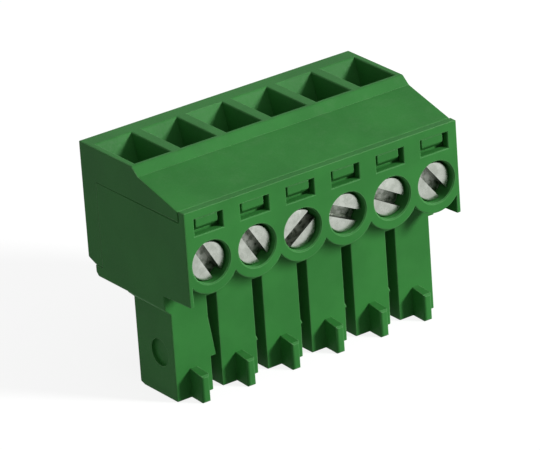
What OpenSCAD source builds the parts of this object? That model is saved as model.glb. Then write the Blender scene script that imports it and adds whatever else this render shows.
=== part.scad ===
// Pluggable terminal block: a row of rising-cage screw clamps in two snapped mouldings.
// X runs along the row, -Y is the screw side and +Z is the side that the wires enter.
// The origin is the centre of the footprint, on the plane of the leg ends.
// Sizes inside the modules are measured from the front plate (y) and the leg ends (z).

/* [Row] */
// Number of poles
poles = 6; // [2:1:8]
// Distance from one pole to the next
pitch = 3.5; // [3.45:0.01:5.08]
// How far each end of the row stands out beyond half a pitch
end_extra = 0.06; // [0:0.01:0.2]

/* [Legs] */
// Length of a leg below the block
leg_len = 6.45; // [5.3:0.05:8]
// Gap between two legs
leg_gap = 0.73; // [0.5:0.01:0.9]
// Depth of a leg from front to back
leg_depth = 4.05; // [3.9:0.01:4.6]
// Thickness of a leg's side walls
leg_side_t = 0.43; // [0.3:0.01:0.5]
// Thickness of a leg's front wall
leg_front_t = 0.58; // [0.4:0.01:0.8]
// Thickness of a leg's back wall
leg_back_t = 0.5; // [0.4:0.01:0.6]
// Thickness of the floor at a leg's end
leg_end_t = 0.6; // [0.4:0.05:0.9]
// Gap from the contact to the inside of a leg's back wall
socket_gap = 0.12; // [0.05:0.01:0.2]
// Width of the square entry for a header pin
pin_entry_w = 1.3; // [1.1:0.05:1.5]
// Slope at the mouth of a pin entry
pin_lead_in = 0.2; // [0.05:0.01:0.25]
// Length of the slope at a leg's back heel
heel_run = 0.4; // [0.1:0.05:0.8]
// Height of the slope at a leg's back heel
heel_rise = 0.12; // [0.05:0.01:0.3]

/* [Coding ribs] */
// Width of a coding rib
rib_w = 0.62; // [0.45:0.01:0.9]
// How far a coding rib stands out of its leg
rib_out = 1.3; // [0.8:0.01:1.8]
// Height of a coding rib above the leg end
rib_h = 2; // [1.2:0.05:3]
// Drop of a coding rib's top towards its nose
rib_drop = 0.15; // [0.05:0.01:0.5]
// Chamfer at the top of a coding rib's nose
rib_bevel = 0.12; // [0.05:0.01:0.2]
// Chamfer at the foot of a coding rib's nose
rib_lead_in = 0.1; // [0.05:0.01:0.2]
// Radius of a coding rib's nose
rib_r = 0.2; // [0.1:0.01:0.22]
// How far the stop wedge of the first leg stands into the next gap
wedge_out = 0.36; // [0.1:0.01:0.5]
// How far the small nub of each other leg stands out
nub_out = 0.1; // [0.05:0.01:0.3]
// Height of the stop wedge's lower face above the leg end
wedge_z = 2.3; // [2:0.05:3]
// Length of the stop wedge
wedge_len = 2.8; // [1:0.05:3]
// Length of a small nub
nub_len = 0.35; // [0.2:0.05:1]
// Depth of the stop wedge and the nubs, front to back
wedge_depth = 0.45; // [0.2:0.05:1]
// Diameter of the shallow round recess in each end leg
dimple_d = 1.85; // [1:0.05:2.4]
// Depth of the round recess
dimple_t = 0.2; // [0.05:0.01:0.25]
// Height of the round recess above the leg end
dimple_z = 2.95; // [2:0.05:4]
// Distance of the round recess behind the leg's front
dimple_back = 1.57; // [1.2:0.01:2.4]

/* [Front plate] */
// Thickness of the front plate at the windows
plate_t = 0.6; // [0.5:0.01:0.8]
// Wall of the boss round each screw head's bore
boss_wall = 0.68; // [0.4:0.01:0.9]
// Chamfer at the mouth of a screw bore
bore_chamfer = 0.08; // [0.02:0.01:0.15]
// Thickness of the seat behind a screw head
seat_t = 0.65; // [0.4:0.01:1]
// Wall between the front of the legs and the clamp chambers
chamber_front_t = 0.38; // [0.3:0.01:0.6]
// Distance from the front plate back to the legs
leg_setback = 2.92; // [2.8:0.01:3.4]
// Thickness of the side fins that join the plate to the block
fin_t = 0.3; // [0.25:0.01:0.35]
// Height of a fin's lower edge above the block's underside, at the plate
fin_front_z = 1.1; // [0.6:0.05:1.5]
// Height of a fin's lower edge above the block's underside, at the block
fin_back_z = 0.95; // [0.5:0.05:1.4]

/* [Latches] */
// Distance from the plate's top edge down to a window
window_drop = 0.6; // [0.5:0.01:0.7]
// Width of a latch lug
lug_w = 1.67; // [1.2:0.01:2]
// How far a lug's face lies behind the plate's face
lug_recess = 0.21; // [0.1:0.01:0.3]
// Height of a lug's flat face
lug_face_h = 0.58; // [0.4:0.01:0.7]
// Height of the slope under a lug's face
lug_ramp_h = 0.4; // [0.2:0.01:0.45]
// Gap at each side of a lug in its window
lug_side_gap = 0.24; // [0.1:0.01:0.3]
// Gap under a lug in its window
lug_foot_gap = 0.07; // [0.03:0.01:0.15]

/* [Clamps] */
// Diameter of a clamping screw's shank
shank_d = 2; // [1.6:0.01:2.1]
// Radial clearance of a shank in its cage
thread_gap = 0.04; // [0.02:0.01:0.09]
// Diameter of a screw head
head_d = 2.6; // [2.4:0.01:2.7]
// Height of a screw head
head_h = 1.2; // [1:0.01:1.5]
// Chamfer round a screw head
head_chamfer = 0.12; // [0.03:0.01:0.2]
// How far a screw head lies behind the plate's face
head_recess = 0.4; // [0.2:0.01:0.7]
// Width of the driver slot
slot_w = 0.75; // [0.4:0.01:0.9]
// Depth of the driver slot
slot_t = 0.75; // [0.4:0.01:0.95]
// Length of the cone at a screw's tip
tip_len = 0.3; // [0.1:0.01:0.5]
// Diameter of the flat at a screw's tip
tip_d = 1.2; // [0.8:0.01:1.5]
// Height of a clamp cage
cage_h = 3; // [2.4:0.05:3.2]
// Thickness of a cage's side walls
cage_wall = 0.35; // [0.25:0.01:0.4]
// Thickness of a cage's back wall
cage_back_t = 0.5; // [0.35:0.01:0.6]
// Thickness of a cage's threaded front wall
cage_front_t = 1; // [0.8:0.01:1.4]
// Radius of a cage's outer corners
cage_r = 0.35; // [0.1:0.01:0.5]
// Travel of a cage between open and clamped
cage_travel = 1.7; // [1.4:0.05:2.1]

/* [Contacts] */
// Thickness of a contact blade
blade_t = 0.5; // [0.4:0.01:0.6]
// Thickness of the two springs that grip a header pin
spring_t = 0.25; // [0.15:0.01:0.3]
// Depth of the springs, front to back
spring_depth = 1.4; // [1:0.05:1.6]
// Gap between the springs where they grip
grip_gap = 0.76; // [0.5:0.01:0.9]
// Height of the gripping point above the leg end
grip_z = 1.9; // [1.4:0.05:2.2]
// Height where the springs start, as a part of the leg's length
spring_root = 0.65; // [0.5:0.01:0.9]
// Depth of the grooves that bite the wire
groove_t = 0.1; // [0.05:0.01:0.15]
// Number of wire grooves
grooves = 3; // [2:1:4]

/* [Wire entries] */
// Wall between the mouths of two wire funnels
mouth_wall = 0.78; // [0.6:0.01:1.1]
// Depth of a wire funnel's mouth, front to back
mouth_depth = 4.3; // [3.8:0.01:4.4]
// Distance from the top face's front edge to the funnel mouths
mouth_rim = 0.3; // [0.2:0.01:0.6]
// Height of the straight throat under a funnel
throat_len = 0.6; // [0.3:0.05:1]

/* [Walls and levels] */
// Thickness of the floor between the legs and the clamp chambers
floor_t = 1.76; // [1.4:0.01:2.4]
// Thickness of the partition between two clamp chambers
partition_t = 0.7; // [0.5:0.01:0.9]
// Depth of the wire cap's plug between the base's walls
plug_h = 1.2; // [1.1:0.05:1.6]
// Height of the front plate's edge above the base's side walls
plate_rise = 0.8; // [0.5:0.05:1]
// Height of the top face above the front plate's edge
top_rise = 1.55; // [1.2:0.05:2.2]
// Thickness of the base's back wall
base_back_t = 0.45; // [0.4:0.01:0.6]
// Thickness of the wire cap's back wall
cap_back_t = 1.58; // [1.35:0.01:1.8]
// Chamfer along the top edge of the base's side walls
ledge_chamfer = 0.08; // [0.03:0.01:0.15]
// Thickness of the skin over the hollows under the slope
skin_t = 0.8; // [0.6:0.05:1]
// Wall between two of the hollows under the slope
pocket_wall = 1.4; // [1.2:0.05:1.8]
// Depth of the top face behind the bevel, front to back
top_depth = 5.82; // [5.5:0.01:6.2]
// Run of the bevel in front of the top face
bevel_run = 0.65; // [0.3:0.01:0.9]
// Drop of the bevel in front of the top face
bevel_drop = 0.55; // [0.3:0.01:0.8]
// Width of the small step at the foot of the bevel
bevel_step = 0.07; // [0.03:0.01:0.12]
// Drop of the cap's slope below the plate's edge, where they meet
slope_step = 0.05; // [0:0.01:0.15]
// Depth of the base's foot under the cap's back wall
foot_depth = 0.85; // [0.5:0.05:1.2]
// Height of the base's foot under the cap's back wall
foot_h = 0.75; // [0.5:0.05:1]
// Chamfer under the foot
foot_chamfer = 0.25; // [0.1:0.01:0.3]
// Rise of the cap's back edge above the foot
back_rise = 0.28; // [0.1:0.01:0.4]

/* [Clearances] */
// Gap between the two mouldings
fit_gap = 0.05; // [0.03:0.01:0.08]
// Gap between the outer walls of the cap and the base
rest_gap = 0.02; // [0.01:0.01:0.05]
// Gap between the front plate and the cap behind it
plate_gap = 0.1; // [0.05:0.01:0.15]
// Radial gap round a screw head in its bore
head_gap = 0.1; // [0.07:0.01:0.2]
// Radial gap round a shank in its seat
shank_gap = 0.15; // [0.08:0.01:0.2]
// How far screws and cages hang below the centres of their bores
screw_drop = 0.06; // [0:0.01:0.06]
// Gap from a cage to its chamber's sides
cage_gap = 0.05; // [0.03:0.01:0.1]
// Gap from a cage to its chamber at either end of its travel
end_gap = 0.1; // [0.05:0.01:0.2]
// Gap from a screw head to its seat
seat_gap = 0.05; // [0.03:0.01:0.08]
// Gap from a screw tip to its contact
tip_gap = 0.05; // [0.03:0.01:0.08]
// Gap from an open cage's front wall to its contact
blade_gap = 0.15; // [0.1:0.01:0.25]
// Gap at each side of a contact blade in its cage
blade_side_gap = 0.15; // [0.1:0.01:0.25]
// Gap from a clamped cage's back wall to its contact
bite_gap = 0.1; // [0.05:0.01:0.2]
// Gap from a cage up to the wire cap
lid_gap = 0.31; // [0.15:0.01:0.4]
// Gap from a contact's shoulders up to its cage
shoulder_gap = 0.1; // [0.05:0.01:0.2]
// Height of a contact's shoulders
shoulder_h = 0.23; // [0.15:0.01:0.4]

/* [Hidden] */
$fn = 64;
eps = 0.01;
cut = 1;
moulding_colour = "forestgreen";
steel_colour = "lightgray";
cage_colour = "silver";
contact_colour = "gainsboro";

// Where each driver slot points when the part is at rest, as degrees from the row
slot_angles = [-60, -58, 35, -25, -29, -51.5, -30, 15];

// Levels, from the leg ends up
block_z = leg_len;
chamber_z = block_z + floor_t;
cage_z = chamber_z + fit_gap + shoulder_h + shoulder_gap;
screw_z = cage_z + cage_h / 2;
bore_z = screw_z + screw_drop;
lid_z = cage_z + cage_h + lid_gap;
rim_z = lid_z + plug_h;
plate_z = rim_z + plate_rise;
top_z = plate_z + top_rise;
window_z = plate_z - window_drop;

// Places from the front plate back
head_y = head_recess;
seat_y = head_y + head_h + seat_gap;
chamber_y = leg_setback + chamber_front_t;
cage_shut_y = chamber_y + end_gap;
cage_y = cage_shut_y + cage_travel;
blade_y = cage_y + cage_front_t + blade_gap;
cage_open = blade_gap + blade_t + bite_gap + cage_travel;
cage_back_y = cage_y + cage_front_t + cage_open + cage_back_t;
chamber_back_y = cage_back_y + end_gap;
base_back_y = chamber_back_y + base_back_t;
depth = base_back_y + rest_gap + cap_back_t;
leg_back_y = leg_setback + leg_depth;
plug_y = plate_t + plate_gap;
top_front_y = depth - top_depth;
bevel_y = top_front_y - bevel_run;
mouth_y = top_front_y + mouth_rim;
throat_y = blade_y + blade_t + fit_gap;
throat_back_y = cage_back_y - cage_back_t - fit_gap;

// Widths along the row
half_w = poles * pitch / 2 + end_extra;
chamber_w = pitch - partition_t;
side_t = partition_t / 2 + end_extra;
plug_half = half_w - side_t - fit_gap;
cage_w = chamber_w - 2 * cage_gap;
cage_in_w = cage_w - 2 * cage_wall;
blade_w = cage_in_w - 2 * blade_side_gap;
throat_w = cage_in_w;
mouth_w = pitch - mouth_wall;
leg_w = pitch - leg_gap;

// Holes and what goes in them
head_bore_d = head_d + 2 * head_gap;
seat_hole_d = shank_d + 2 * shank_gap;
boss_r = head_bore_d / 2 + boss_wall;
window_w = lug_w + 2 * lug_side_gap;
window_h = fit_gap + lug_face_h + lug_ramp_h + lug_foot_gap;

// The legs' hollow, shared by the base and the contacts
socket_w = leg_w - 2 * leg_side_t;
socket_y = leg_setback + leg_front_t;
socket_back_y = leg_back_y - leg_back_t;
pin_y = leg_setback + leg_depth / 2;
low_blade_y = socket_back_y - socket_gap - blade_t;
blade_jog = blade_y - low_blade_y;
spring_y = pin_y - spring_depth / 2;
cheek_x = blade_w / 2;
root_z = block_z * spring_root;

function pole_x(i) = (i - (poles + 1) / 2) * pitch;

// Extrudes an (x, z) outline from y0 back to y1.
module along_y(y0, y1) {
    translate([0, y1, 0])
        rotate([90, 0, 0])
            linear_extrude(y1 - y0)
                children();
}

// Extrudes a (y, z) outline from x0 to x1.
module along_x(x0, x1) {
    translate([x0, 0, 0])
        rotate([90, 0, 90])
            linear_extrude(x1 - x0)
                children();
}

// Box between two corners.
module block(low, high) {
    translate(low)
        cube(high - low);
}

// Places a piece that is drawn from the front plate, at the pole's place in the row.
module at_pole(i) {
    translate([pole_x(i), -depth / 2, 0])
        children();
}

module at_row() {
    translate([0, -depth / 2, 0])
        children();
}

// Rounded rectangle from true arcs, centred in x, from y0 to y1.
module rounded_outline(w, y0, y1, r) {
    translate([-w / 2, y0 + r])
        square([w, y1 - y0 - 2 * r]);
    translate([-w / 2 + r, y0])
        square([w - 2 * r, y1 - y0]);
    for (x = [-w / 2 + r, w / 2 - r], y = [y0 + r, y1 - r])
        translate([x, y])
            circle(r);
}

// Straight-sided taper: a rectangle at z1 that narrows to another at z0 and runs on below it.
module funnel(mouth, mouth_at, throat, throat_at, z0, z1, below) {
    intersection() {
        along_y(0, depth)
            polygon([
                [-throat / 2, below], [throat / 2, below], [throat / 2, z0],
                [mouth / 2, z1], [mouth / 2, z1 + cut], [-mouth / 2, z1 + cut],
                [-mouth / 2, z1], [-throat / 2, z0]
            ]);
        along_x(-pitch, pitch)
            polygon([
                [throat_at[0], below], [throat_at[1], below], [throat_at[1], z0],
                [mouth_at[1], z1], [mouth_at[1], z1 + cut], [mouth_at[0], z1 + cut],
                [mouth_at[0], z1], [throat_at[0], z0]
            ]);
    }
}

// Wire cap: funnels, slope, plug with latch lugs, and back wall

// Height of the slope's surface at a place behind the plate.
function slope_z(y) =
    let (low = plate_z - slope_step, high = top_z - bevel_drop)
    low + (high - low) * (y - plug_y) / (bevel_y - plug_y);

module cap_outline() {
    foot_z = block_z + foot_h + rest_gap;
    foot_y = base_back_y + foot_depth;
    polygon([
        [plug_y, rim_z + rest_gap],
        [plug_y, slope_z(plug_y)],
        [bevel_y, top_z - bevel_drop],
        [bevel_y + bevel_step, top_z - bevel_drop],
        [top_front_y, top_z],
        [depth, top_z],
        [depth, foot_z + back_rise],
        [foot_y, foot_z],
        [base_back_y + rest_gap, foot_z],
        [base_back_y + rest_gap, rim_z + rest_gap]
    ]);
}

// A lug is flat on top, where it holds the cap down, and sloped below, where it snaps in.
module latch_lug() {
    lug_top = window_z - fit_gap;
    along_x(-lug_w / 2, lug_w / 2)
        polygon([
            [plug_y + eps, lug_top],
            [lug_recess, lug_top],
            [lug_recess, lug_top - lug_face_h],
            [plug_y, lug_top - lug_face_h - lug_ramp_h],
            [plug_y + eps, lug_top - lug_face_h - lug_ramp_h]
        ]);
}

// Hollow under the slope, which keeps the moulding's walls even.
module core_pocket() {
    y0 = plug_y + skin_t;
    y1 = bevel_y - skin_t / 2;
    pocket_w = pitch - pocket_wall;
    along_x(-pocket_w / 2, pocket_w / 2)
        polygon([
            [y0, lid_z - cut],
            [y1, lid_z - cut],
            [y1, slope_z(y1) - skin_t],
            [y0, slope_z(y0) - skin_t]
        ]);
}

module wire_cap() {
    color(moulding_colour)
        difference() {
            union() {
                at_row()
                    along_x(-half_w, half_w)
                        cap_outline();
                at_row()
                    block([-plug_half, plug_y, lid_z],
                          [plug_half, chamber_back_y - fit_gap, rim_z + rest_gap + eps]);
                for (i = [1:poles])
                    at_pole(i)
                        latch_lug();
            }
            for (i = [1:poles])
                at_pole(i) {
                    core_pocket();
                    funnel(mouth_w, [mouth_y, mouth_y + mouth_depth],
                           throat_w, [throat_y, throat_back_y],
                           lid_z + throat_len, top_z, lid_z - cut);
                }
        }
}

// Contact base: front plate, clamp chambers and legs

// Front view of everything that stands forward of the legs.
module front_outline() {
    translate([-half_w, bore_z])
        square([2 * half_w, lid_z - bore_z]);
    intersection() {
        for (i = [1:poles])
            translate([pole_x(i), bore_z])
                circle(boss_r);
        translate([-half_w, 0])
            square([2 * half_w, lid_z]);
    }
}

// The fins close the row's ends between the plate and the block.
module fin(x0, x1) {
    along_x(x0, x1)
        polygon([
            [0, block_z + fin_front_z],
            [leg_setback + eps, block_z + fin_back_z],
            [leg_setback + eps, lid_z],
            [0, lid_z]
        ]);
}

module block_outline() {
    foot_y = base_back_y + foot_depth;
    foot_z = block_z + foot_h;
    polygon([
        [leg_setback, block_z],
        [foot_y - foot_chamfer, block_z],
        [foot_y, block_z + foot_chamfer],
        [foot_y, foot_z],
        [base_back_y, foot_z],
        [base_back_y, rim_z],
        [leg_setback, rim_z]
    ]);
}

module leg_outline() {
    polygon([
        [leg_setback, 0],
        [leg_back_y - heel_run, 0],
        [leg_back_y, heel_rise],
        [leg_back_y, block_z + eps],
        [leg_setback, block_z + eps]
    ]);
}

// A coding rib has a round nose and a top that falls towards it.
module coding_rib() {
    nose_y = leg_setback - rib_out;
    intersection() {
        linear_extrude(rib_h)
            rounded_outline(rib_w, nose_y, leg_setback + rib_r + eps, rib_r);
        along_x(-rib_w, rib_w)
            polygon([
                [nose_y, rib_lead_in],
                [nose_y + rib_lead_in, 0],
                [leg_setback + eps, 0],
                [leg_setback + eps, rib_h],
                [nose_y + rib_bevel, rib_h - rib_drop],
                [nose_y, rib_h - rib_drop - rib_bevel]
            ]);
    }
}

// A wedge on a leg's side whose flat face looks down the leg.
module side_wedge(out, len) {
    x0 = leg_w / 2 - eps;
    along_y(leg_setback, leg_setback + wedge_depth)
        polygon([
            [x0, wedge_z],
            [leg_w / 2 + out, wedge_z],
            [leg_w / 2 + out, wedge_z + out / 2],
            [x0, wedge_z + len]
        ]);
}

// Fillet between the first leg and the block that overhangs it.
module end_gusset() {
    overhang = leg_gap / 2 + end_extra;
    along_y(leg_setback, leg_back_y)
        polygon([
            [-leg_w / 2 + eps, block_z + eps],
            [-leg_w / 2 + eps, block_z - overhang],
            [-leg_w / 2, block_z - overhang],
            [-leg_w / 2 - overhang, block_z],
            [-leg_w / 2 - overhang, block_z + eps]
        ]);
}

module leg(i) {
    along_x(-leg_w / 2, leg_w / 2)
        leg_outline();
    coding_rib();
    if (i < poles)
        side_wedge(i == 1 ? wedge_out : nub_out, i == 1 ? wedge_len : nub_len);
    if (i == 1)
        end_gusset();
}

// Stepped hole for one screw: head bore, seat and the relief behind it.
module screw_bore() {
    translate([0, -cut, bore_z])
        rotate([-90, 0, 0])
            cylinder(d = head_bore_d, h = seat_y + cut);
    translate([0, -eps, bore_z])
        rotate([-90, 0, 0])
            cylinder(d1 = head_bore_d + 2 * (bore_chamfer + eps), d2 = head_bore_d,
                     h = bore_chamfer + eps);
    translate([0, 0, bore_z])
        rotate([-90, 0, 0])
            cylinder(d = seat_hole_d, h = chamber_y + cut);
    translate([0, seat_y + seat_t, bore_z])
        rotate([-90, 0, 0])
            cylinder(d = head_bore_d, h = chamber_y + cut - seat_y - seat_t);
}

// Everything hollow behind one pole of the front plate.
module pole_hollow() {
    screw_bore();
    block([-chamber_w / 2, chamber_y, chamber_z],
          [chamber_w / 2, chamber_back_y, rim_z + cut]);
    block([-socket_w / 2, socket_y, block_z],
          [socket_w / 2, blade_y + blade_t + fit_gap, chamber_z + cut]);
    block([-socket_w / 2, socket_y, leg_end_t],
          [socket_w / 2, socket_back_y, block_z + eps]);
    block([-window_w / 2, -cut, window_z - window_h],
          [window_w / 2, plate_t + cut, window_z]);
    pin_entry();
}

// Square entry for a header pin, wider at its mouth.
module pin_entry() {
    wide = pin_entry_w + 2 * pin_lead_in;
    low = pin_y - pin_entry_w / 2;
    high = pin_y + pin_entry_w / 2;
    block([-pin_entry_w / 2, low, -cut], [pin_entry_w / 2, high, leg_end_t + cut]);
    intersection() {
        along_y(0, depth)
            polygon([
                [-wide / 2, -eps], [wide / 2, -eps],
                [pin_entry_w / 2, pin_lead_in], [-pin_entry_w / 2, pin_lead_in]
            ]);
        along_x(-wide, wide)
            polygon([
                [low - pin_lead_in, -eps], [high + pin_lead_in, -eps],
                [high, pin_lead_in], [low, pin_lead_in]
            ]);
    }
}

// Shallow round recess in the outer side of an end leg; side is -1 or 1.
module dimple(side) {
    translate([side * (leg_w / 2 - dimple_t), leg_setback + dimple_back, dimple_z])
        rotate([0, side * 90, 0])
            cylinder(d = dimple_d, h = dimple_t + cut);
}

// Chamfer along the top of both side walls, behind the plate.
module ledge_chamfers() {
    for (side = [0, 1])
        mirror([side, 0, 0])
            along_y(plate_t, base_back_y + cut)
                polygon([
                    [half_w - ledge_chamfer, rim_z + eps],
                    [half_w + eps, rim_z + eps],
                    [half_w + eps, rim_z - ledge_chamfer]
                ]);
}

module contact_base() {
    color(moulding_colour)
        difference() {
            union() {
                at_row() {
                    along_y(0, leg_setback + eps)
                        front_outline();
                    block([-half_w, 0, lid_z - eps], [half_w, plate_t, plate_z]);
                    block([-half_w, 0, lid_z - eps], [-half_w + side_t, leg_setback + eps, rim_z]);
                    block([half_w - side_t, 0, lid_z - eps], [half_w, leg_setback + eps, rim_z]);
                    fin(-half_w, -half_w + fin_t);
                    fin(half_w - fin_t, half_w);
                    along_x(-half_w, half_w)
                        block_outline();
                }
                for (i = [1:poles])
                    at_pole(i)
                        leg(i);
            }
            at_row() {
                block([-half_w + side_t, plate_t, lid_z],
                      [half_w - side_t, chamber_back_y, plate_z + cut]);
                ledge_chamfers();
            }
            for (i = [1:poles])
                at_pole(i)
                    pole_hollow();
            at_pole(1)
                dimple(-1);
            at_pole(poles)
                dimple(1);
        }
}

// Clamps

// Slotted screw, drawn along +Z from its head's face.
module screw_body() {
    len = blade_y - tip_gap - head_y;
    rotate_extrude()
        polygon([
            [0, 0],
            [head_d / 2 - head_chamfer, 0],
            [head_d / 2, head_chamfer],
            [head_d / 2, head_h],
            [shank_d / 2, head_h],
            [shank_d / 2, len - tip_len],
            [tip_d / 2, len],
            [0, len]
        ]);
}

module clamp_screw(i) {
    color(steel_colour)
        at_pole(i)
            translate([0, head_y, screw_z])
                rotate([-90, 0, 0])
                    difference() {
                        screw_body();
                        rotate([0, 0, -slot_angles[i - 1]])
                            translate([-head_d, -slot_w / 2, -cut])
                                cube([2 * head_d, slot_w, slot_t + cut]);
                    }
}

// Rectangular sleeve round the contact blade; the screw pulls it forward.
module clamp_cage(i) {
    color(cage_colour)
        at_pole(i)
            difference() {
                translate([0, 0, cage_z])
                    linear_extrude(cage_h)
                        rounded_outline(cage_w, cage_y, cage_back_y, cage_r);
                block([-cage_in_w / 2, cage_y + cage_front_t, cage_z - cut],
                      [cage_in_w / 2, cage_back_y - cage_back_t, cage_z + cage_h + cut]);
                translate([0, cage_y - cut, screw_z])
                    rotate([-90, 0, 0])
                        cylinder(d = shank_d + 2 * thread_gap, h = cage_front_t + 2 * cut);
            }
}

// Contacts

// Side view of the blade: straight in the clamp, bent forward into the leg.
module blade_outline() {
    blade_back_y = blade_y + blade_t;
    low_back_y = low_blade_y + blade_t;
    bend_z = chamber_z - floor_t / 2;
    polygon([
        [blade_y, lid_z - fit_gap],
        [blade_back_y, lid_z - fit_gap],
        [blade_back_y, bend_z + blade_jog / 2],
        [low_back_y, bend_z - blade_jog / 2],
        [low_back_y, block_z / 2],
        [low_blade_y, block_z / 2],
        [low_blade_y, bend_z],
        [blade_y, bend_z + blade_jog]
    ]);
}

// One spring of the socket: in to the gripping point, then out to guide the pin.
module pin_spring() {
    tip_z = leg_end_t + fit_gap;
    tip_x = cheek_x - spring_t;
    along_y(spring_y, spring_y + spring_depth)
        polygon([
            [cheek_x, root_z],
            [grip_gap / 2 + spring_t, grip_z],
            [tip_x + spring_t, tip_z],
            [tip_x, tip_z],
            [grip_gap / 2, grip_z],
            [cheek_x - spring_t, root_z]
        ]);
}

module contact(i) {
    color(contact_colour)
        at_pole(i)
            difference() {
                union() {
                    along_x(-blade_w / 2, blade_w / 2)
                        blade_outline();
                    block([-chamber_w / 2 + fit_gap, blade_y, chamber_z + fit_gap],
                          [chamber_w / 2 - fit_gap, blade_y + blade_t,
                           chamber_z + fit_gap + shoulder_h]);
                    for (side = [0, 1])
                        mirror([side, 0, 0]) {
                            block([cheek_x - spring_t, spring_y, root_z - eps],
                                  [cheek_x, low_blade_y + eps, block_z]);
                            pin_spring();
                        }
                }
                for (k = [1:grooves])
                    translate([0, blade_y + blade_t,
                               screw_z + (k - (grooves + 1) / 2) * cage_h / (grooves + 1)])
                        rotate([45, 0, 0])
                            cube([blade_w + cut, groove_t * sqrt(2), groove_t * sqrt(2)],
                                 center = true);
            }
}

wire_cap();
contact_base();
for (i = [1:poles]) {
    clamp_screw(i);
    clamp_cage(i);
    contact(i);
}
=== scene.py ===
import math

import bpy
from mathutils import Matrix, Vector


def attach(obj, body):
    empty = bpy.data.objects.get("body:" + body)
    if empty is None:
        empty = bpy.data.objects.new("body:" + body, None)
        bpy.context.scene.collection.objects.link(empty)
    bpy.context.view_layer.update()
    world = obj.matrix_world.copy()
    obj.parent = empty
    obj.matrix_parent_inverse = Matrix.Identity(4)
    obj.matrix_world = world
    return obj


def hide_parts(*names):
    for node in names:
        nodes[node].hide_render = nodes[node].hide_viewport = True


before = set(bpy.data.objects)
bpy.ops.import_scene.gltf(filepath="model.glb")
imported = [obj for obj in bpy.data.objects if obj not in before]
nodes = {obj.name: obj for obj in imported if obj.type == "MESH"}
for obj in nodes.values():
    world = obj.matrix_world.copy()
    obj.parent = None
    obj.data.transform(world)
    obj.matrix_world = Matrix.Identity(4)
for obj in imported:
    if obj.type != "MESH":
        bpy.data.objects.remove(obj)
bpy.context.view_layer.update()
mm = 0.001


# small helpers

def pickOnly(obj):
    bpy.ops.object.select_all(action="DESELECT")
    obj.select_set(True)
    bpy.context.view_layer.objects.active = obj


def applyModifier(obj, kind, **settings):
    pickOnly(obj)
    modifier = obj.modifiers.new(kind.title(), kind)
    for key, value in settings.items():
        setattr(modifier, key, value)
    bpy.ops.object.modifier_apply(modifier=modifier.name)


def setMaterial(obj, material):
    obj.data.materials.clear()
    obj.data.materials.append(material)


# shader node groups, each built once and shared by the materials

def newGroup(name, inputs, outputs):
    group = bpy.data.node_groups.new(name, "ShaderNodeTree")
    for label, default in inputs:
        socket = group.interface.new_socket(label, in_out="INPUT", socket_type="NodeSocketFloat")
        socket.default_value = default
    for label, kind in outputs:
        group.interface.new_socket(label, in_out="OUTPUT", socket_type=kind)
    start = group.nodes.new("NodeGroupInput")
    end = group.nodes.new("NodeGroupOutput")
    return group, start, end


def mathNode(tree, operation, first, second=None):
    node = tree.nodes.new("ShaderNodeMath")
    node.operation = operation
    for index, value in enumerate((first, second)):
        if value is None:
            continue
        if isinstance(value, (int, float)):
            node.inputs[index].default_value = value
        else:
            tree.links.new(value, node.inputs[index])
    return node.outputs[0]


def rangeNode(tree, value, low, high, toLow=0.0, toHigh=1.0):
    node = tree.nodes.new("ShaderNodeMapRange")
    node.interpolation_type = "SMOOTHSTEP"
    tree.links.new(value, node.inputs["Value"])
    for label, number in (("From Min", low), ("From Max", high), ("To Min", toLow), ("To Max", toHigh)):
        node.inputs[label].default_value = number
    return node.outputs["Result"]


def noiseNode(tree, where, scale, detail=3.0, roughness=0.55):
    node = tree.nodes.new("ShaderNodeTexNoise")
    tree.links.new(where, node.inputs["Vector"])
    node.inputs["Scale"].default_value = scale
    node.inputs["Detail"].default_value = detail
    node.inputs["Roughness"].default_value = roughness
    return node.outputs["Fac"]


grainLook = {"grainSize": 9000.0, "grainDetail": 2.0, "cloudSize": 300.0, "cloudDetail": 4.0}


def makeMouldGrain(look):
    # spark-eroded grain: a fine sand with faint flow clouds over it
    group, start, end = newGroup(
        "mouldGrain", [("Grain Size", look["grainSize"]), ("Cloud Size", look["cloudSize"])],
        [("Height", "NodeSocketFloat"), ("Cloud", "NodeSocketFloat")])
    where = group.nodes.new("ShaderNodeTexCoord").outputs["Object"]
    parts = (("Height", "Grain Size", look["grainDetail"]), ("Cloud", "Cloud Size", look["cloudDetail"]))
    for label, size, detail in parts:
        noise = group.nodes.new("ShaderNodeTexNoise")
        noise.inputs["Detail"].default_value = detail
        group.links.new(where, noise.inputs["Vector"])
        group.links.new(start.outputs[size], noise.inputs["Scale"])
        group.links.new(noise.outputs["Fac"], end.inputs[label])
    return group


edgeMaskLook = {"radius": 0.06 * mm, "reach": 0.12 * mm, "samples": 4, "turned": (0.995, 0.86), "open": (0.7, 0.9)}


def makeEdgeMask(look):
    # 1 on an outer edge, 0 on a flat face and in an inner corner
    group, start, end = newGroup("edgeMask", [("Radius", look["radius"])], [("Edge", "NodeSocketFloat")])
    bevel = group.nodes.new("ShaderNodeBevel")
    bevel.samples = look["samples"]
    group.links.new(start.outputs["Radius"], bevel.inputs["Radius"])
    geometry = group.nodes.new("ShaderNodeNewGeometry")
    turn = group.nodes.new("ShaderNodeVectorMath")
    turn.operation = "DOT_PRODUCT"
    group.links.new(bevel.outputs["Normal"], turn.inputs[0])
    group.links.new(geometry.outputs["True Normal"], turn.inputs[1])
    openness = group.nodes.new("ShaderNodeAmbientOcclusion")
    openness.samples = look["samples"]
    openness.only_local = True
    openness.inputs["Distance"].default_value = look["reach"]
    outer = rangeNode(group, openness.outputs["AO"], *look["open"])
    turned = rangeNode(group, turn.outputs["Value"], *look["turned"])
    group.links.new(mathNode(group, "MULTIPLY", turned, outer), end.inputs["Edge"])
    return group


dustLook = {"patchSize": 900.0, "detail": 6.0, "roughness": 0.7, "patches": (0.46, 0.72), "onSides": 0.25}


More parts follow.
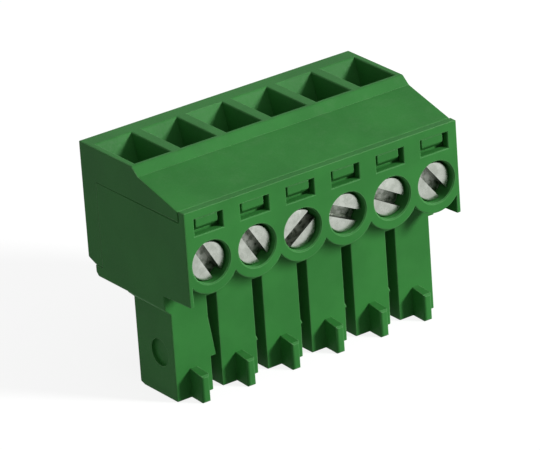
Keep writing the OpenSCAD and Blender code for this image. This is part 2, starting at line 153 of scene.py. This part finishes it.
def makeDustMask(look):
    # thin dust in patches: full on faces that look up, a little on the sides
    group, start, end = newGroup("dustMask", [("Patch Size", look["patchSize"])], [("Dust", "NodeSocketFloat")])
    where = group.nodes.new("ShaderNodeTexCoord").outputs["Object"]
    noise = group.nodes.new("ShaderNodeTexNoise")
    noise.inputs["Detail"].default_value = look["detail"]
    noise.inputs["Roughness"].default_value = look["roughness"]
    group.links.new(where, noise.inputs["Vector"])
    group.links.new(start.outputs["Patch Size"], noise.inputs["Scale"])
    patches = rangeNode(group, noise.outputs["Fac"], *look["patches"])
    normal = group.nodes.new("ShaderNodeSeparateXYZ")
    group.links.new(group.nodes.new("ShaderNodeNewGeometry").outputs["Normal"], normal.inputs[0])
    upward = rangeNode(group, normal.outputs["Z"], 0.0, 1.0, look["onSides"], 1.0)
    group.links.new(mathNode(group, "MULTIPLY", patches, upward), end.inputs["Dust"])
    return group


mouldGrain = makeMouldGrain(grainLook)
edgeMask = makeEdgeMask(edgeMaskLook)
dustMask = makeDustMask(dustLook)
print("node groups ready")


# materials

def newMaterial(name):
    material = bpy.data.materials.new(name)
    material.use_nodes = True
    tree = material.node_tree
    shader = tree.nodes["Principled BSDF"]
    return material, tree, shader


def useGroup(tree, group):
    node = tree.nodes.new("ShaderNodeGroup")
    node.node_tree = group
    return node


def mixColours(tree, factor, first, second):
    node = tree.nodes.new("ShaderNodeMix")
    node.data_type = "RGBA"
    tree.links.new(factor, node.inputs["Factor"])
    for label, value in (("A", first), ("B", second)):
        socket = [s for s in node.inputs if s.name == label and s.type == "RGBA"][0]
        if isinstance(value, tuple):
            socket.default_value = (*value, 1.0)
        else:
            tree.links.new(value, socket)
    return [s for s in node.outputs if s.type == "RGBA"][0]


def bumpFrom(tree, height, strength, distance):
    bump = tree.nodes.new("ShaderNodeBump")
    bump.inputs["Strength"].default_value = strength
    bump.inputs["Distance"].default_value = distance
    tree.links.new(height, bump.inputs["Height"])
    return bump.outputs["Normal"]


greenLook = {
    "deep": (0.028, 0.172, 0.032),
    "light": (0.034, 0.200, 0.038),
    # the edge colour is a painted highlight: a lighter green on outer edges, standing in for the glints on
    # their small rounding
    "edge": (0.20, 0.44, 0.19), "edgeWearAndHighlightAmount": 0.75,
    "dust": (0.24, 0.32, 0.22), "dustAmount": 0.06,
    "roughness": (0.52, 0.64),
    "specular": 0.15,
    "grain": 0.16, "grainDepth": 0.02 * mm, "grainRange": (0.3, 0.7), "cloudRange": (0.35, 0.65),
    "capShade": 0.96,
}


def makeGreen(name, look, shade=1.0):
    material, tree, shader = newMaterial(name)
    grain = useGroup(tree, mouldGrain)
    cloud = rangeNode(tree, grain.outputs["Cloud"], *look["cloudRange"])
    deep = tuple(c * shade for c in look["deep"])
    light = tuple(c * shade for c in look["light"])
    plain = mixColours(tree, cloud, deep, light)
    # painted highlight: outer edges are mixed towards the lighter edge green
    edge = mathNode(tree, "MULTIPLY", useGroup(tree, edgeMask).outputs["Edge"], look["edgeWearAndHighlightAmount"])
    withEdgeHighlight = mixColours(tree, edge, plain, look["edge"])
    dust = mathNode(tree, "MULTIPLY", useGroup(tree, dustMask).outputs["Dust"], look["dustAmount"])
    tree.links.new(mixColours(tree, dust, withEdgeHighlight, look["dust"]), shader.inputs["Base Color"])
    rough = rangeNode(tree, grain.outputs["Height"], *look["grainRange"], *look["roughness"])
    tree.links.new(mathNode(tree, "ADD", rough, dust), shader.inputs["Roughness"])
    bump = bumpFrom(tree, grain.outputs["Height"], look["grain"], look["grainDepth"])
    tree.links.new(bump, shader.inputs["Normal"])
    shader.inputs["Specular IOR Level"].default_value = look["specular"]
    return material


metalLook = {
    "screw": {"dark": (0.39, 0.42, 0.37), "light": (0.50, 0.53, 0.48), "edge": (0.66, 0.69, 0.64),
              "roughness": (0.20, 0.34), "scale": 1500.0},
    # the slot zinc is darker: partly its dark oxide, partly painted shade for the slot's hollow
    "slot": {"dark": (0.14, 0.16, 0.13), "light": (0.36, 0.38, 0.34), "edge": (0.66, 0.69, 0.64),
             "roughness": (0.24, 0.40), "scale": 3200.0},
    "cage": {"dark": (0.40, 0.40, 0.38), "light": (0.56, 0.56, 0.54), "edge": (0.70, 0.70, 0.68),
             "roughness": (0.34, 0.50), "scale": 1400.0},
    "contact": {"dark": (0.48, 0.47, 0.43), "light": (0.64, 0.63, 0.59), "edge": (0.74, 0.72, 0.68),
                "roughness": (0.30, 0.46), "scale": 1400.0},
}


# what all the plated metals share
platingLook = {
    "detail": 5.0, "patchRoughness": 0.6, "patchRange": (0.35, 0.65), "shineRange": (0.3, 0.7),
    "edgeWearAndHighlightAmount": 0.7, "bumpScale": 6000.0, "bump": 0.12, "bumpDepth": 0.01 * mm,
}


def makeMetal(name, look, plating):
    material, tree, shader = newMaterial(name)
    where = tree.nodes.new("ShaderNodeTexCoord").outputs["Object"]
    patches = noiseNode(tree, where, look["scale"], plating["detail"], plating["patchRoughness"])
    spread = rangeNode(tree, patches, *plating["patchRange"])
    plain = mixColours(tree, spread, look["dark"], look["light"])
    edge = mathNode(tree, "MULTIPLY", useGroup(tree, edgeMask).outputs["Edge"], plating["edgeWearAndHighlightAmount"])
    tree.links.new(mixColours(tree, edge, plain, look["edge"]), shader.inputs["Base Color"])
    rough = rangeNode(tree, patches, *plating["shineRange"], *look["roughness"])
    tree.links.new(rough, shader.inputs["Roughness"])
    shader.inputs["Metallic"].default_value = 1.0
    height = noiseNode(tree, where, plating["bumpScale"])
    tree.links.new(bumpFrom(tree, height, plating["bump"], plating["bumpDepth"]), shader.inputs["Normal"])
    return material


baseGreen = makeGreen("baseGreen", greenLook)
capGreen = makeGreen("capGreen", greenLook, greenLook["capShade"])
screwZinc = makeMetal("screwZinc", metalLook["screw"], platingLook)
slotZinc = makeMetal("slotZinc", metalLook["slot"], platingLook)
cageZinc = makeMetal("cageZinc", metalLook["cage"], platingLook)
contactTin = makeMetal("contactTin", metalLook["contact"], platingLook)
print("materials ready")


# the row: a piece of the first pole is made once, then copied from pole to pole

rowLook = {"pitch": 3.5 * mm, "poles": 6}


def poleX(pole):
    return (pole - (rowLook["poles"] + 1) / 2) * rowLook["pitch"]


def copiesAlongRow(first, stem):
    pieces = [first]
    for pole in range(2, rowLook["poles"] + 1):
        pickOnly(first)
        bpy.ops.object.duplicate()
        piece = bpy.context.active_object
        piece.name = f"{stem}{pole}"
        bpy.ops.transform.translate(value=(poleX(pole) - poleX(1), 0, 0))
        bpy.ops.object.transform_apply(location=True)
        pieces.append(piece)
    return pieces


# tools for pieces that are turned, cut or joined

def addAlongY(radius, low, high, sides):
    # a cylinder round the Y axis, from low to high
    bpy.ops.object.select_all(action="DESELECT")
    bpy.ops.mesh.primitive_cylinder_add(vertices=sides, radius=radius, depth=high - low,
                                        location=(0, (low + high) / 2, 0), rotation=(math.pi / 2, 0, 0))
    bpy.ops.object.transform_apply(location=True, rotation=True)
    return bpy.context.active_object


def pickEdges(obj, test):
    # selects in edit mode the edges whose two ends both pass the test
    pickOnly(obj)
    bpy.ops.object.mode_set(mode="EDIT")
    bpy.ops.mesh.select_mode(type="EDGE")
    bpy.ops.mesh.select_all(action="DESELECT")
    bpy.ops.object.mode_set(mode="OBJECT")
    points = obj.data.vertices
    for edge in obj.data.edges:
        edge.select = all(test(points[v].co) for v in edge.vertices)
    bpy.ops.object.mode_set(mode="EDIT")


def combine(obj, other, operation):
    applyModifier(obj, "BOOLEAN", operation=operation, object=other, solver="EXACT")
    pickOnly(other)
    bpy.ops.object.delete()
    pickOnly(obj)


def near(value, target, slack=1e-6):
    return abs(value - target) < slack


# mouldings: the CAD shape with its moulded edge radii

copyLook = {"merge": 1e-6, "dissolve": math.radians(2), "room": 2.6}

mouldEdges = {"radius": 0.07 * mm, "segments": 2, "sharp": math.radians(28), "shortest": 0.25 * mm,
              "smooth": math.radians(12), "flat": math.radians(3)}

# where the two mouldings meet on the sides: a level seam and an upright one, both left sharp
seamLook = {"level": 13.10 * mm, "front": -4.4 * mm, "upright": 4.02 * mm, "near": 0.09 * mm, "side": 10.4 * mm}


def onSeam(mesh, edge, look):
    ends = [mesh.vertices[v].co for v in edge.vertices]
    if min(abs(end.x) for end in ends) < look["side"]:
        return False
    level = all(abs(end.z - look["level"]) < look["near"] and end.y > look["front"] for end in ends)
    upright = all(abs(end.y - look["upright"]) < look["near"] for end in ends)
    return level or upright


def roomBeside(mesh, polygon, start, along):
    # how far the face reaches away from one of its edges
    return max((mesh.vertices[v].co - start).cross(along).length for v in polygon.vertices)


def isInnerCorner(mesh, pair, edge):
    # true where the second face rises from the first one's outer side
    first, second = pair
    corners = list(first.vertices)
    tail, head = edge.vertices
    if corners[(corners.index(tail) + 1) % len(corners)] != head:
        tail, head = head, tail
    along = mesh.vertices[head].co - mesh.vertices[tail].co
    return second.normal.cross(-along).dot(first.normal) > 0


def facesByEdge(mesh):
    faces = {}
    for polygon in mesh.polygons:
        for key in polygon.edge_keys:
            faces.setdefault(key, []).append(polygon)
    return faces


def edgesWithRoom(mesh, look):
    # sharp outer edges that are long enough to round, with wide enough faces beside them
    faces = facesByEdge(mesh)
    chosen = []
    for edge in mesh.edges:
        pair = faces.get(edge.key, [])
        if len(pair) != 2 or pair[0].normal.angle(pair[1].normal, 0.0) < look["sharp"]:
            continue
        if onSeam(mesh, edge, seamLook) or isInnerCorner(mesh, pair, edge):
            continue
        start = mesh.vertices[edge.vertices[0]].co
        along = mesh.vertices[edge.vertices[1]].co - start
        if along.length < look["shortest"]:
            continue
        along.normalize()
        if min(roomBeside(mesh, polygon, start, along) for polygon in pair) > copyLook["room"] * look["radius"]:
            chosen.append(edge.index)
    return chosen


def smoothCurves(piece, look):
    # smooth shading on the facets of curved walls only, so that flat walls stay evenly shaded
    pickOnly(piece)
    bpy.ops.object.shade_smooth_by_angle(angle=look["smooth"])
    mesh = piece.data
    curved = set()
    for pair in facesByEdge(mesh).values():
        if len(pair) == 2 and look["flat"] < pair[0].normal.angle(pair[1].normal, 0.0) < look["smooth"]:
            curved.update(polygon.index for polygon in pair)
    for polygon in mesh.polygons:
        polygon.use_smooth = polygon.index in curved


def roundedCopy(nodeName, name, look):
    # the CAD node's own shape, merged, with its outer edges rounded
    pickOnly(nodes[nodeName])
    bpy.ops.object.duplicate()
    piece = bpy.context.active_object
    piece.name = name
    pickOnly(piece)
    bpy.ops.object.mode_set(mode="EDIT")
    bpy.ops.mesh.select_mode(type="EDGE")
    bpy.ops.mesh.select_all(action="SELECT")
    bpy.ops.mesh.remove_doubles(threshold=copyLook["merge"])
    bpy.ops.mesh.dissolve_limited(angle_limit=copyLook["dissolve"])
    bpy.ops.mesh.select_all(action="DESELECT")
    bpy.ops.object.mode_set(mode="OBJECT")
    for index in edgesWithRoom(piece.data, look):
        piece.data.edges[index].select = True
    bpy.ops.object.mode_set(mode="EDIT")
    bpy.ops.mesh.bevel(offset=look["radius"], segments=look["segments"], clamp_overlap=False)
    bpy.ops.object.mode_set(mode="OBJECT")
    smoothCurves(piece, look)
    return piece


def finish(piece, material, body, nodeName):
    setMaterial(piece, material)
    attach(piece, body)
    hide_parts(nodeName)


# screw bores: cut again with finer sides and the same small chamfer at the mouth

boreLook = {
    "height": 10.15 * mm, "front": -5.6 * mm, "depth": 1.6 * mm, "radius": 1.402 * mm,
    "chamfer": 0.08 * mm, "overrun": 0.02 * mm, "sides": 96,
}


def addBoreCutter(look):
    # a bore and the cone of its mouth, both begun a little before the plate
    front, overrun, chamfer = look["front"], look["overrun"], look["chamfer"]
    cutter = addAlongY(look["radius"], front - overrun, front + look["depth"], look["sides"])
    middle = front + (chamfer - overrun) / 2
    bpy.ops.object.select_all(action="DESELECT")
    bpy.ops.mesh.primitive_cone_add(vertices=look["sides"], radius1=look["radius"],
                                    radius2=look["radius"] + chamfer + overrun, depth=chamfer + overrun,
                                    location=(0, middle, 0), rotation=(math.pi / 2, 0, 0))
    bpy.ops.object.transform_apply(location=True, rotation=True)
    combine(cutter, bpy.context.active_object, "UNION")
    bpy.ops.transform.translate(value=(poleX(1), 0, look["height"]))
    bpy.ops.object.transform_apply(location=True)
    return cutter


def cutBores(piece, look, edges):
    # all bores in one cut, and from triangles, because the plate is one face with holes in it
    cutters = copiesAlongRow(addBoreCutter(look), "boreCutter")
    bpy.ops.object.select_all(action="DESELECT")
    for cutter in cutters:
        cutter.select_set(True)
    bpy.ops.object.join()
    joined = bpy.context.active_object
    pickOnly(piece)
    bpy.ops.object.mode_set(mode="EDIT")
    bpy.ops.mesh.select_all(action="SELECT")
    bpy.ops.mesh.quads_convert_to_tris()
    bpy.ops.object.mode_set(mode="OBJECT")
    combine(piece, joined, "DIFFERENCE")
    smoothCurves(piece, edges)


baseMoulding = roundedCopy("contact_base", "baseMoulding", mouldEdges)
cutBores(baseMoulding, boreLook, mouldEdges)
finish(baseMoulding, baseGreen, "housing", "contact_base")
capMoulding = roundedCopy("wire_cap", "capMoulding", mouldEdges)
finish(capMoulding, capGreen, "housing", "wire_cap")
print("mouldings ready")


# cages and contacts: each made for the first pole, then copied along the row

cageEdges = {"radius": 0.045 * mm, "segments": 2, "sharp": math.radians(28), "shortest": 0.15 * mm,
             "smooth": math.radians(25), "flat": math.radians(3)}
contactEdges = {"radius": 0.025 * mm, "segments": 1, "sharp": math.radians(28), "shortest": 0.1 * mm,
                "smooth": math.radians(20), "flat": math.radians(3)}

cages = copiesAlongRow(roundedCopy("clamp_cage_1", "cage1", cageEdges), "cage")
contacts = copiesAlongRow(roundedCopy("contact_1", "contact1", contactEdges), "contact")
for pole in range(1, rowLook["poles"] + 1):
    finish(cages[pole - 1], cageZinc, f"cage_{pole}", f"clamp_cage_{pole}")
    finish(contacts[pole - 1], contactTin, "housing", f"contact_{pole}")
print("cages and contacts ready")


# screws: slotted head, cut thread and chamfered tip

screwLook = {
    "face": -5.2 * mm, "axis": 10.09 * mm, "length": 5.8 * mm,
    "headRadius": 1.3 * mm, "headHeight": 1.2 * mm, "headEdge": 0.12 * mm,
    "slotWidth": 0.75 * mm, "slotDepth": 0.75 * mm, "slotEdge": 0.03 * mm,
    "crest": 0.99 * mm, "root": 0.80 * mm, "lead": 0.4 * mm, "turns": 15, "steps": 32,
    "crestWidth": 0.15, "tipChamfer": 0.32 * mm, "sleeveGap": 0.15 * mm, "sleeveSlack": 1.02,
    "sides": 96, "headSegments": 3, "slotSegments": 2, "smooth": math.radians(25),
    "slotFaces": (0.05 * mm, 0.8 * mm),
    "angles": (-60, -58, 35, -25, -29, -51.5),
}


def makeScrewHead(look):
    face, edge = look["face"], look["headEdge"]
    head = addAlongY(look["headRadius"], face, face + look["headHeight"], look["sides"])
    pickEdges(head, lambda p: near(p.y, face))
    bpy.ops.mesh.bevel(offset=edge, segments=look["headSegments"])
    bpy.ops.object.mode_set(mode="OBJECT")
    bpy.ops.object.select_all(action="DESELECT")
    low, high = face - look["slotDepth"], face + look["slotDepth"]
    bpy.ops.mesh.primitive_cube_add(size=1, location=(0, (low + high) / 2, 0),
                                    scale=(4 * look["headRadius"], high - low, look["slotWidth"]))
    bpy.ops.object.transform_apply(location=True, scale=True)
    combine(head, bpy.context.active_object, "DIFFERENCE")
    half = look["slotWidth"] / 2
    pickEdges(head, lambda p: near(p.y, face) and near(abs(p.z), half))
    bpy.ops.mesh.bevel(offset=look["slotEdge"], segments=look["slotSegments"], clamp_overlap=False)
    bpy.ops.object.mode_set(mode="OBJECT")
    return head


def makeThread(look):
    # one tooth is drawn as an open outline and swept along its helix
    root, crest, lead = look["root"], look["crest"], look["lead"]
    middle = ((root + crest) / 2, 0, lead / 2)
    bpy.ops.object.select_all(action="DESELECT")
    bpy.ops.mesh.primitive_plane_add(size=lead, location=middle, rotation=(math.pi / 2, 0, 0))
    thread = bpy.context.active_object
    bpy.ops.object.transform_apply(location=True, rotation=True)
    bpy.ops.object.mode_set(mode="EDIT")
    bpy.ops.transform.resize(value=((crest - root) / lead, 1, 1), center_override=middle)
    bpy.ops.object.mode_set(mode="OBJECT")
    pickEdges(thread, lambda p: near(p.x, root))
    bpy.ops.mesh.delete(type="EDGE")
    bpy.ops.object.mode_set(mode="OBJECT")
    pickEdges(thread, lambda p: near(p.x, crest))
    bpy.ops.transform.resize(value=(1, 1, look["crestWidth"]), center_override=(crest, 0, lead / 2))
    bpy.ops.object.mode_set(mode="OBJECT")
    applyModifier(thread, "SCREW", angle=2 * math.pi, screw_offset=lead, iterations=look["turns"],
                  steps=look["steps"], render_steps=look["steps"], use_normal_calculate=True)
    bpy.ops.object.mode_set(mode="EDIT")
    bpy.ops.mesh.select_all(action="SELECT")
    bpy.ops.mesh.remove_doubles(threshold=copyLook["merge"])
    # the ragged ends are cut off square
    for height, up in ((1.5 * lead, -1), ((look["turns"] - 0.5) * lead, 1)):
        bpy.ops.mesh.select_all(action="SELECT")
        bpy.ops.mesh.bisect(plane_co=(0, 0, height), plane_no=(0, 0, up), use_fill=True, clear_outer=True)
    bpy.ops.mesh.select_all(action="SELECT")
    bpy.ops.mesh.normals_make_consistent(inside=False)
    bpy.ops.object.mode_set(mode="OBJECT")
    thread.location = (0, look["face"] + look["headHeight"] - 2.0 * lead, 0)
    thread.rotation_euler = (-math.pi / 2, 0, 0)
    bpy.ops.object.transform_apply(location=True, rotation=True)
    return thread


def makeScrew(look):
    # the thread is trimmed to length by a chamfered sleeve, then joined to the head
    tip = look["face"] + look["length"]
    start = look["face"] + look["slotDepth"] + look["sleeveGap"]
    sleeve = addAlongY(look["crest"] * look["sleeveSlack"], start, tip, look["sides"])
    pickEdges(sleeve, lambda p: near(p.y, tip))
    bpy.ops.mesh.bevel(offset=look["tipChamfer"], segments=1)
    bpy.ops.object.mode_set(mode="OBJECT")
    thread = makeThread(look)
    combine(thread, sleeve, "INTERSECT")
    screw = makeScrewHead(look)
    combine(screw, thread, "UNION")
    screw.name = "screw1"
    bpy.ops.transform.translate(value=(poleX(1), 0, look["axis"]))
    bpy.ops.object.transform_apply(location=True)
    bpy.ops.object.shade_smooth_by_angle(angle=look["smooth"])
    setMaterial(screw, screwZinc)
    screw.data.materials.append(slotZinc)
    # faces inside the slot take the darker slot zinc: dark oxide and painted shade
    nearest, deepest = (look["face"] + depth for depth in look["slotFaces"])
    for polygon in screw.data.polygons:
        middle = polygon.center
        between = abs(middle.z - look["axis"]) <= look["slotWidth"] / 2 + copyLook["merge"]
        polygon.material_index = int(between and nearest < middle.y < deepest)
    return screw


screws = copiesAlongRow(makeScrew(screwLook), "screw")
for pole, (screw, angle) in enumerate(zip(screws, screwLook["angles"]), 1):
    pickOnly(screw)
    bpy.ops.transform.rotate(value=math.radians(angle), orient_axis="Y",
                             center_override=(poleX(pole), 0, screwLook["axis"]))
    bpy.ops.object.transform_apply(location=True, rotation=True)
    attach(screw, f"screw_{pole}")
    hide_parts(f"clamp_screw_{pole}")
print("screws ready")


# floor, lights and camera

stageLook = {
    "floorSize": 3.0, "floorLevel": -0.02 * mm,
    "floorColour": (0.24, 0.24, 0.24), "floorRoughness": 0.9,
    "floorLift": 0.86,
    "worldSeen": 1.0, "worldFill": 0.22,
    "aim": (0, 0, 8 * mm),
    "keyAzimuth": 39.0, "keyElevation": 24.0, "keyDistance": 0.5, "keySize": 0.10, "keyPower": 2.7,
    "topDirection": (0.1, -0.25, 1.0), "topDistance": 0.5, "topSize": 0.4, "topPower": 0.18,
}


def seenStrength(tree, seen, rest):
    # one strength for the camera's, mirrored and transmitted rays, another for all the others
    path = tree.nodes.new("ShaderNodeLightPath")
    bounced = mathNode(tree, "MAXIMUM", path.outputs["Is Glossy Ray"], path.outputs["Is Transmission Ray"])
    direct = mathNode(tree, "MAXIMUM", path.outputs["Is Camera Ray"], bounced)
    return mathNode(tree, "ADD", mathNode(tree, "MULTIPLY", direct, seen - rest), rest)


def makeFloor(look):
    bpy.ops.mesh.primitive_plane_add(size=look["floorSize"], location=(0, 0, look["floorLevel"]))
    bpy.ops.object.transform_apply(location=True)
    floor = bpy.context.active_object
    floor.name = "paleFloor"
    material, tree, shader = newMaterial("paleFloor")
    shader.inputs["Base Color"].default_value = (*look["floorColour"], 1.0)
    shader.inputs["Roughness"].default_value = look["floorRoughness"]
    shader.inputs["Specular IOR Level"].default_value = 0.0
    shader.inputs["Emission Color"].default_value = (1.0, 1.0, 1.0, 1.0)
    lift = seenStrength(tree, look["floorLift"], 0.0)
    tree.links.new(lift, shader.inputs["Emission Strength"])
    # clear from below, so that the object's underside can be seen
    clear = tree.nodes.new("ShaderNodeBsdfTransparent")
    sides = tree.nodes.new("ShaderNodeMixShader")
    tree.links.new(tree.nodes.new("ShaderNodeNewGeometry").outputs["Backfacing"], sides.inputs["Fac"])
    tree.links.new(shader.outputs[0], sides.inputs[1])
    tree.links.new(clear.outputs[0], sides.inputs[2])
    tree.links.new(sides.outputs[0], tree.nodes["Material Output"].inputs["Surface"])
    setMaterial(floor, material)


def makeWorld(look):
    world = bpy.data.worlds.new("studio")
    world.use_nodes = True
    tree = world.node_tree
    background = tree.nodes["Background"]
    background.inputs["Color"].default_value = (1.0, 1.0, 1.0, 1.0)
    tree.links.new(seenStrength(tree, look["worldSeen"], look["worldFill"]), background.inputs["Strength"])
    bpy.context.scene.world = world


def outwards(azimuth, elevation):
    # from the part's front, turned to the right by the azimuth and up by the elevation
    return Vector((math.sin(azimuth) * math.cos(elevation), -math.cos(azimuth) * math.cos(elevation),
                   math.sin(elevation)))


def addDiskLight(name, aim, direction, distance, size, power):
    bpy.ops.object.light_add(type="AREA")
    light = bpy.context.active_object
    light.name = name
    light.location = aim + direction.normalized() * distance
    light.rotation_euler = (aim - light.location).to_track_quat("-Z", "Y").to_euler()
    light.data.shape = "DISK"
    light.data.size = size
    light.data.energy = power


def makeLights(look):
    aim = Vector(look["aim"])
    key = outwards(math.radians(look["keyAzimuth"]), math.radians(look["keyElevation"]))
    top = Vector(look["topDirection"])
    addDiskLight("keyLight", aim, key, look["keyDistance"], look["keySize"], look["keyPower"])
    addDiskLight("topLight", aim, top, look["topDistance"], look["topSize"], look["topPower"])


cameraLook = {
    "azimuth": -0.601656, "elevation": 0.410706, "roll": -0.071089,
    "place": (-0.18121, -0.26340, 0.14741), "lens": 367.35,
    "sensor": 36.0, "nearest": 0.01, "farthest": 20.0,
}


def makeCamera(look):
    back = outwards(look["azimuth"], look["elevation"])
    side = Vector((math.cos(look["azimuth"]), math.sin(look["azimuth"]), 0.0))
    up = back.cross(side)
    right = math.cos(look["roll"]) * side + math.sin(look["roll"]) * up
    top = -math.sin(look["roll"]) * side + math.cos(look["roll"]) * up
    bpy.ops.object.camera_add(location=look["place"])
    camera = bpy.context.active_object
    camera.rotation_euler = Matrix((right, top, back)).transposed().to_euler()
    camera.data.lens = look["lens"]
    camera.data.sensor_width = look["sensor"]
    camera.data.sensor_fit = "HORIZONTAL"
    camera.data.clip_start = look["nearest"]
    camera.data.clip_end = look["farthest"]
    bpy.context.scene.camera = camera


makeFloor(stageLook)
makeWorld(stageLook)
makeLights(stageLook)
makeCamera(cameraLook)
bpy.context.scene.view_settings.view_transform = "Standard"
print("stage ready")
